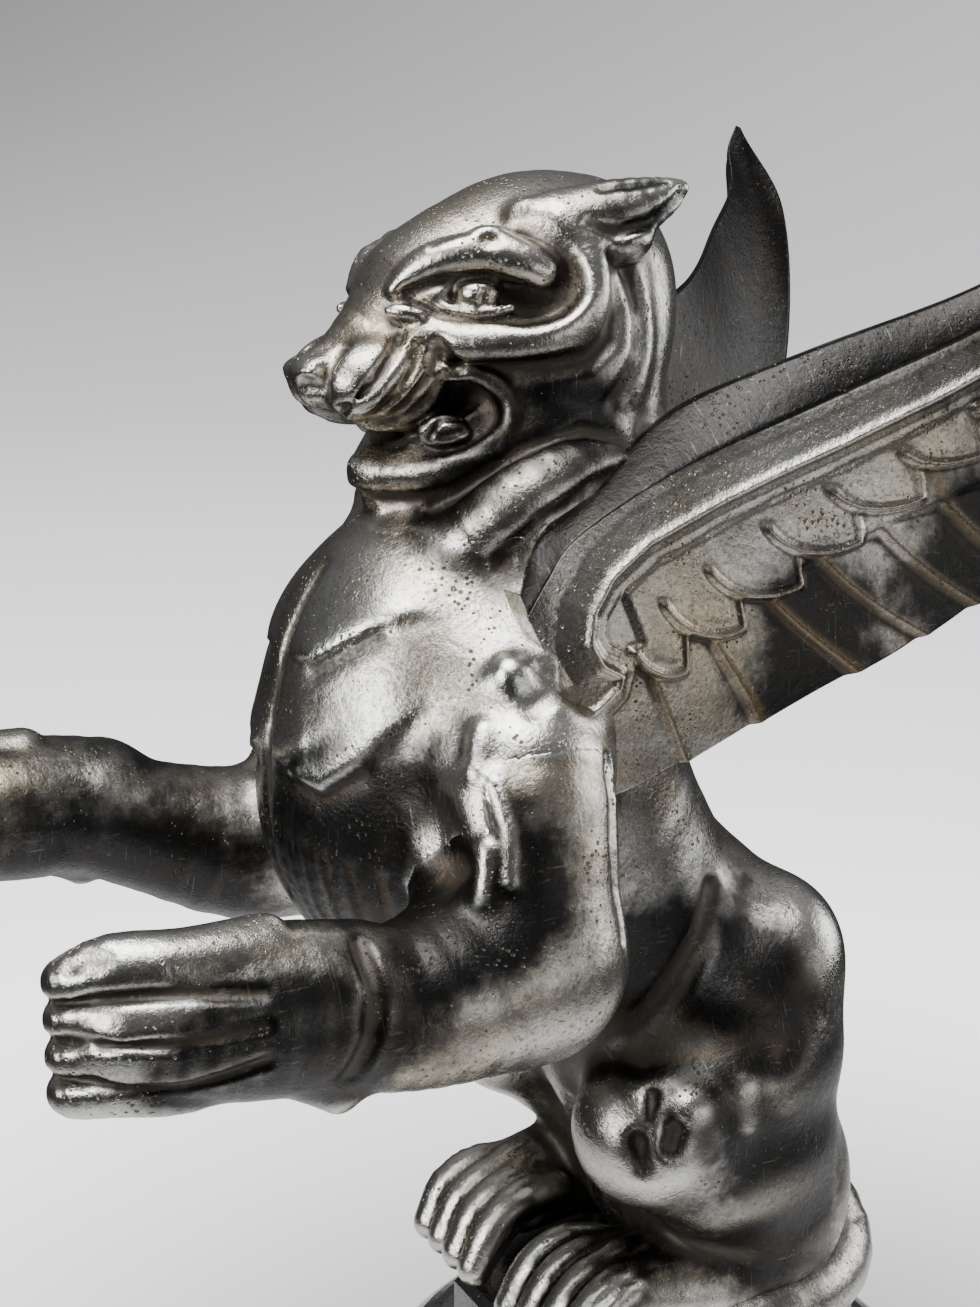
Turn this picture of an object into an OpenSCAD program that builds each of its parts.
// Hood ornament: a rearing winged panther on an eight-sided plinth, bolted through a domed radiator cap.
// Frame: +Z up, the figure faces -Y, its left side is +X, and the cap's rim rests on Z = 0 with the cap's axis at X = Y = 0.
// The figure is a set of castings that seat in each other's sockets and are held by pins and screws.

/* [Radiator cap] */
// Radius of the fluted skirt
cap_r = 35; // [32:0.5:38]
// Height from the rim to the flat pad under the plinth
cap_h = 24; // [23:0.5:28]
// Height of the straight skirt below the dome
skirt_h = 14; // [12:0.5:15]
// Radius of the flat pad
pad_r = 24; // [22:0.5:26]
// Wall thickness of the cap shell
shell_t = 1.6; // [1.2:0.1:2]
// Radius of the screw thread that takes the filler neck
neck_r = 21; // [19:0.5:22]
// Height of that thread's wall
neck_h = 9; // [8:0.5:9]
// Grip flutes round the skirt
flutes = 24; // [16:1:32]

/* [Plinth] */
// Radius of the eight-sided plinth over its corners
plinth_r = 24; // [22:0.5:26]
// Height of the plinth
plinth_h = 10; // [9:0.5:14]
// Chamfer round its top
plinth_chamfer = 1; // [0.5:0.1:1.5]
// Thickness of the fibre washer under the plinth
seal_t = 1; // [0.8:0.1:1.5]

/* [Stud and fasteners] */
// Radius of the stud
stud_r = 4; // [4:0.5:5]
// Radial gap between the stud and a threaded bore
thread_gap = 0.05; // [0.02:0.01:0.08]
// Radial gap between the stud and a plain hole
hole_gap = 0.3; // [0.2:0.1:0.5]
// Thickness of the clamp plate
clamp_t = 1.5; // [1:0.1:2]
// Thickness of the lock washer
lock_t = 1.9; // [1.5:0.1:2]
// Nut height
nut_h = 6.5; // [6:0.1:7]
// Nut width over its flats
nut_flats = 13; // [13:0.5:17]
// Length of stud below the tightened nut
stud_end = 2; // [1:0.1:2.5]
// Radius of the screws that hold the figure on the plinth
screw_r = 2; // [1.5:0.1:2.5]
// Radius of the pins that hold the wings, forelegs and tail
pin_r = 1.25; // [1:0.05:1.5]

/* [Castings] */
// Gap between a casting and the socket it seats in
seat_gap = 0.06; // [0.04:0.01:0.1]
// Thickness of a wing at its front edge
wing_t = 5; // [4:0.5:6]
// Thickness of a wing at its rear edge
wing_edge_t = 2.4; // [2:0.2:3]

/* [Hidden] */

ball_fn = 20;          // facets of the balls that the castings are hulled from
round_fn = 96;         // facets of turned parts
hole_fn = 48;          // facets of drilled holes
slack = 0.5;           // how far a cutter passes the face it cuts
hole_play = 0.06;      // radial gap round a pin or screw in a casting

plinth_z = cap_h + seal_t;
figure_z = plinth_z + plinth_h;
inner_z = cap_h - shell_t;
clamp_z = inner_z - clamp_t;
lock_z = clamp_z - lock_t;
nut_z = lock_z - nut_h;

// Ring at the rim: a wall with the thread, a recess for the gasket and a flange above it.
ring_r = cap_r - shell_t;
gasket_r = neck_r + 2;
gasket_t = 1.8;
gasket_bore_r = 16.5;
flange_t = 1.3;

// Landmarks of the figure, as [x, y, z, radius] from the centre of the plinth's top. Those of a pair are for the left.
chest_balls = [[10, -25, 80, 14], [0, -34, 80, 10], [0, -36, 60, 10], [11, -26, 60, 14], [8, -14, 84, 14],
               [9, -14, 60, 14]];
neck_balls = [[0, -17, 86, 15], [3, -17, 103, 11.5]];
skull_balls = [[4, -18, 112, 12], [3, -26, 112, 11], [0, -33, 110, 8]];
muzzle_balls = [[2.5, -33, 108, 7], [2, -39, 105, 5]];
jaw_balls = [[4, -24, 101, 6], [1.5, -34.5, 98.5, 3.5]];
ear_balls = [[11, -17, 119, 3.5], [12.5, -10, 121.5, 2]];
belly_balls = [[6, -20, 58, 14], [4, -5, 42, 14]];
hip_balls = [[6, 1, 37, 13.5], [5, 6, 22, 11]];
thigh_balls = [[11.5, 1, 33, 12], [16, -12.5, 26, 8.5], [13, 5, 15, 11]];
shin_balls = [[15.5, -14, 23, 6.5], [15, 0, 7, 5.5]];
foot_balls = [[14, 4, 5, 5.5], [9.5, -16.5, 5, 6.5]];
upper_arm_balls = [[24, -29, 76, 9], [26, -33, 52, 9]];
forearm_balls = [[26, -36, 50, 8.5], [26, -52, 51, 7]];
paw_balls = [[25.5, -55, 51.5, 7], [25, -63, 54, 8.5]];
toe_balls = [[25, -68.5, 58.5, 4], [25, -69, 49.5, 4]];
wrist_spur = [[26, -50, 50, 5], [26, -51, 45.5, 2.4]];
tail_balls = [[6, 14, 11, 5], [12, 16, 4.2, 4.5], [18.5, 5, 3.8, 4.2], [18, -6, 3.2, 3.4], [15.5, -12, 2.2, 2.4]];
right_arm_shift = [0, -7, 5];       // the right foreleg reaches further and higher
wing_front = [[14, -10, 98], [20, 1.5, 106], [26, 19, 113.5], [33, 27, 121], [38, 33, 127], [43, 37, 132.5]];
wing_rear = [[20, -19, 68], [24, 0, 74], [26, 20.5, 81.5], [31, 35, 100], [37, 41, 113], [43, 38, 131]];
wing_pin_spots = [[-12.8, 92.5], [-5.5, 96]];
wing_pin_ends = [20.8, 21.1];
wing_pin_in = 8;
arm_pin_spot = [-29, 73];
arm_pin_ends = [8, 20.5];
right_pin_shift = [0, -3, 2];        // its pin only a little
tail_pin_spot = [7, 12.5];
tail_pin_ends = [2, 17];
screw_spots = [[-11.5, -1], [11.5, -1]];
screw_head_h = 2;
screw_head_r = 2 * screw_r;
screw_up = 8;                        // how far a screw reaches into the body casting

module on_plinth() {
    translate([0, 0, figure_z]) children();
}

module right_side() {
    mirror([1, 0, 0]) children();
}

module ball(spot, grow = 0) {
    translate([spot[0], spot[1], spot[2]]) sphere(r = spot[3] + grow, $fn = ball_fn);
}

// One smooth lump round a set of balls.
module lump(spots, grow = 0) {
    hull() for (s = spots) ball(s, grow);
}

// A lump that is the same on both sides of the figure.
module twin_lump(spots) {
    hull() for (s = spots) {
        ball(s);
        ball([-s[0], s[1], s[2], s[3]]);
    }
}

// A limb: lumps between neighbouring balls.
module chain(spots, grow = 0) {
    for (i = [0:len(spots) - 2]) lump([spots[i], spots[i + 1]], grow);
}

module drill(r, h) {
    cylinder(r = r, h = h, $fn = hole_fn);
}

// ---- Castings ----

module foreleg_shape(grow = 0) {
    lump(upper_arm_balls, grow);
    lump(forearm_balls, grow);
    lump(concat(paw_balls, toe_balls), grow);
    lump(wrist_spur, grow);
}

module right_foreleg_shape(grow = 0) {
    right_side() translate(right_arm_shift) foreleg_shape(grow);
}

module wing_shape(grow = 0) {
    for (i = [0:len(wing_front) - 2]) hull() for (k = [i, i + 1]) {
        taper = 1 - 0.12 * k;
        ball([each wing_front[k], wing_t / 2 * taper], grow);
        ball([each wing_rear[k], wing_edge_t / 2], grow);
    }
}

// The left foreleg's pin, or its hole when grown, from the chest to inside the upper arm.
module arm_pin(grow = 0) {
    translate([arm_pin_ends[0] - grow, arm_pin_spot[0], arm_pin_spot[1]]) rotate([0, 90, 0])
        drill(pin_r + grow, arm_pin_ends[1] - arm_pin_ends[0] + 2 * grow);
}

module right_arm_pin(grow = 0) {
    right_side() translate(right_pin_shift) arm_pin(grow);
}

// The two pins of the left wing. Their outer ends show on the wing's front band.
module wing_pair(grow = 0) {
    for (i = [0, 1]) translate([wing_pin_in - grow, wing_pin_spots[i][0], wing_pin_spots[i][1]])
        rotate([0, 90, 0]) drill(pin_r + grow, wing_pin_ends[i] - wing_pin_in + (grow > 0 ? 5 : 0));
}

// The tail's pin lies along Y, from the rump to inside the tail's root.
module tail_pin_shape(grow = 0) {
    translate([tail_pin_spot[0], tail_pin_ends[0] - grow, tail_pin_spot[1]]) rotate([-90, 0, 0])
        drill(pin_r + grow, tail_pin_ends[1] - tail_pin_ends[0] + 2 * grow);
}

module pair_of_sides() {
    children();
    right_side() children();
}

module body_lumps() {
    twin_lump(chest_balls);
    twin_lump(neck_balls);
    twin_lump(skull_balls);
    twin_lump(muzzle_balls);
    twin_lump(jaw_balls);
    twin_lump(belly_balls);
    twin_lump(hip_balls);
    pair_of_sides() {
        lump(ear_balls);
        lump(thigh_balls);
        chain(shin_balls);
        chain(foot_balls);
    }
    cylinder(r = 15, h = 3, $fn = hole_fn);
}

module body_casting() {
    color("gainsboro") on_plinth() difference() {
        intersection() {
            body_lumps();
            translate([-60, -60, 0]) cube([120, 120, 140]);
        }
        foreleg_shape(seat_gap);
        right_foreleg_shape(seat_gap);
        pair_of_sides() wing_shape(seat_gap);
        tail_shape(seat_gap);
        pair_of_sides() wing_pair(hole_play);
        arm_pin(hole_play);
        right_arm_pin(hole_play);
        tail_pin_shape(hole_play);
        for (s = screw_spots) translate([s[0], s[1], -slack]) drill(screw_r + hole_play, screw_up + 2 * slack);
    }
}

module left_wing() {
    color("silver") on_plinth() difference() {
        wing_shape();
        wing_pair(hole_play);
    }
}

module right_wing() {
    color("silver") on_plinth() right_side() difference() {
        wing_shape();
        wing_pair(hole_play);
    }
}

module left_foreleg() {
    color("lightgray") on_plinth() difference() {
        foreleg_shape();
        arm_pin(hole_play);
    }
}

module right_foreleg() {
    color("lightgray") on_plinth() difference() {
        right_foreleg_shape();
        right_arm_pin(hole_play);
    }
}

module tail_shape(grow = 0) {
    intersection() {
        chain(tail_balls, grow);
        translate([-60, -60, 0]) cube([120, 120, 60]);
    }
}

module tail() {
    color("darkgray") on_plinth() difference() {
        tail_shape();
        tail_pin_shape(hole_play);
    }
}

// ---- Pins and screws ----

module wing_pins() {
    color("tan") on_plinth() pair_of_sides() wing_pair();
}

module foreleg_pins() {
    color("tan") on_plinth() {
        arm_pin();
        right_arm_pin();
    }
}

module tail_pin() {
    color("tan") on_plinth() tail_pin_shape();
}

module figure_screws() {
    color("dimgray") for (s = screw_spots) translate([s[0], s[1], plinth_z + 0.2]) difference() {
        union() {
            cylinder(r1 = screw_head_r, r2 = screw_r, h = screw_head_h, $fn = hole_fn);
            cylinder(r = screw_r, h = plinth_h + screw_up - 0.2, $fn = hole_fn);
        }
        translate([-screw_head_r, -0.5, -slack]) cube([2 * screw_head_r, 1, 0.8 + slack]);
    }
}

// ---- Plinth, stud and cap ----

module plinth() {
    flats_turn = 22.5;
    color("slategray") difference() {
        translate([0, 0, plinth_z]) rotate([0, 0, flats_turn]) union() {
            cylinder(r = plinth_r, h = plinth_h - plinth_chamfer, $fn = 8);
            translate([0, 0, plinth_h - plinth_chamfer])
                cylinder(r1 = plinth_r, r2 = plinth_r - plinth_chamfer, h = plinth_chamfer, $fn = 8);
        }
        translate([0, 0, plinth_z - slack]) drill(stud_r + thread_gap, plinth_h - 2 + slack);
        for (s = screw_spots) translate([s[0], s[1], plinth_z]) {
            translate([0, 0, -slack]) drill(screw_r + hole_play, plinth_h + 2 * slack);
            translate([0, 0, -slack]) drill(screw_head_r + 0.1, 0.2 + slack);
            translate([0, 0, 0.2]) cylinder(r1 = screw_head_r + 0.1, r2 = screw_r + hole_play,
                                            h = screw_head_h + 0.1, $fn = hole_fn);
        }
    }
}

module stud() {
    color("dimgray") translate([0, 0, nut_z - stud_end])
        cylinder(r = stud_r, h = plinth_z + plinth_h - 2.2 - (nut_z - stud_end), $fn = round_fn);
}

module washer(z, r, bore_r, h) {
    translate([0, 0, z]) difference() {
        cylinder(r = r, h = h, $fn = round_fn);
        translate([0, 0, -slack]) cylinder(r = bore_r, h = h + 2 * slack, $fn = round_fn);
    }
}

module seal_washer() {
    color("saddlebrown") washer(cap_h, pad_r - 3, stud_r + hole_gap, seal_t);
}

module clamp_plate() {
    color("silver") washer(clamp_z, 14, stud_r + hole_gap, clamp_t);
}

module lock_washer() {
    gap = 1.2;
    color("dimgray") difference() {
        washer(lock_z, 7, stud_r + hole_gap, lock_t);
        translate([0, -gap / 2, lock_z - slack]) cube([8, gap, lock_t + 2 * slack]);
    }
}

module hex_nut() {
    corner_r = nut_flats / 2 / cos(30);
    color("dimgray") translate([0, 0, nut_z]) difference() {
        cylinder(r = corner_r, h = nut_h, $fn = 6);
        translate([0, 0, -slack]) cylinder(r = stud_r + thread_gap, h = nut_h + 2 * slack, $fn = round_fn);
    }
}

// Outline of the cap from the rim over the dome to its pad, drawn a wall's thickness in from the outside.
dome_steps = 10;
function dome(inset) = [for (i = [0:dome_steps])
    let (a = 90 * i / dome_steps)
    [pad_r + (cap_r - pad_r - inset) * cos(a), skirt_h + (cap_h - skirt_h - inset) * sin(a)]];

module cap_shell() {
    flute_r = 2;
    color("silver") difference() {
        rotate_extrude($fn = round_fn) polygon(concat(
            [[cap_r - shell_t, 0], [cap_r, 0]], dome(0), [[stud_r + hole_gap, cap_h]],
            [[stud_r + hole_gap, inner_z]], [for (i = [dome_steps:-1:0]) dome(shell_t)[i]]));
        for (i = [0:flutes - 1]) rotate([0, 0, 360 / flutes * (i + 0.5)])
            translate([cap_r + flute_r - 0.8, 0, 1.5]) cylinder(r = flute_r, h = skirt_h - 3, $fn = 24);
    }
}

module thread_ring() {
    flange_z = neck_h + gasket_t + 0.1;
    color("goldenrod") rotate_extrude($fn = round_fn) polygon([
        [neck_r, 0], [ring_r, 0], [ring_r, flange_z + flange_t], [gasket_bore_r, flange_z + flange_t],
        [gasket_bore_r, flange_z], [gasket_r + 0.1, flange_z], [gasket_r + 0.1, neck_h], [neck_r, neck_h]]);
}

module neck_gasket() {
    color("saddlebrown") washer(neck_h, gasket_r, gasket_bore_r, gasket_t);
}

cap_shell();
thread_ring();
neck_gasket();
seal_washer();
plinth();
stud();
clamp_plate();
lock_washer();
hex_nut();
figure_screws();
body_casting();
left_wing();
right_wing();
left_foreleg();
right_foreleg();
tail();
wing_pins();
foreleg_pins();
tail_pin();
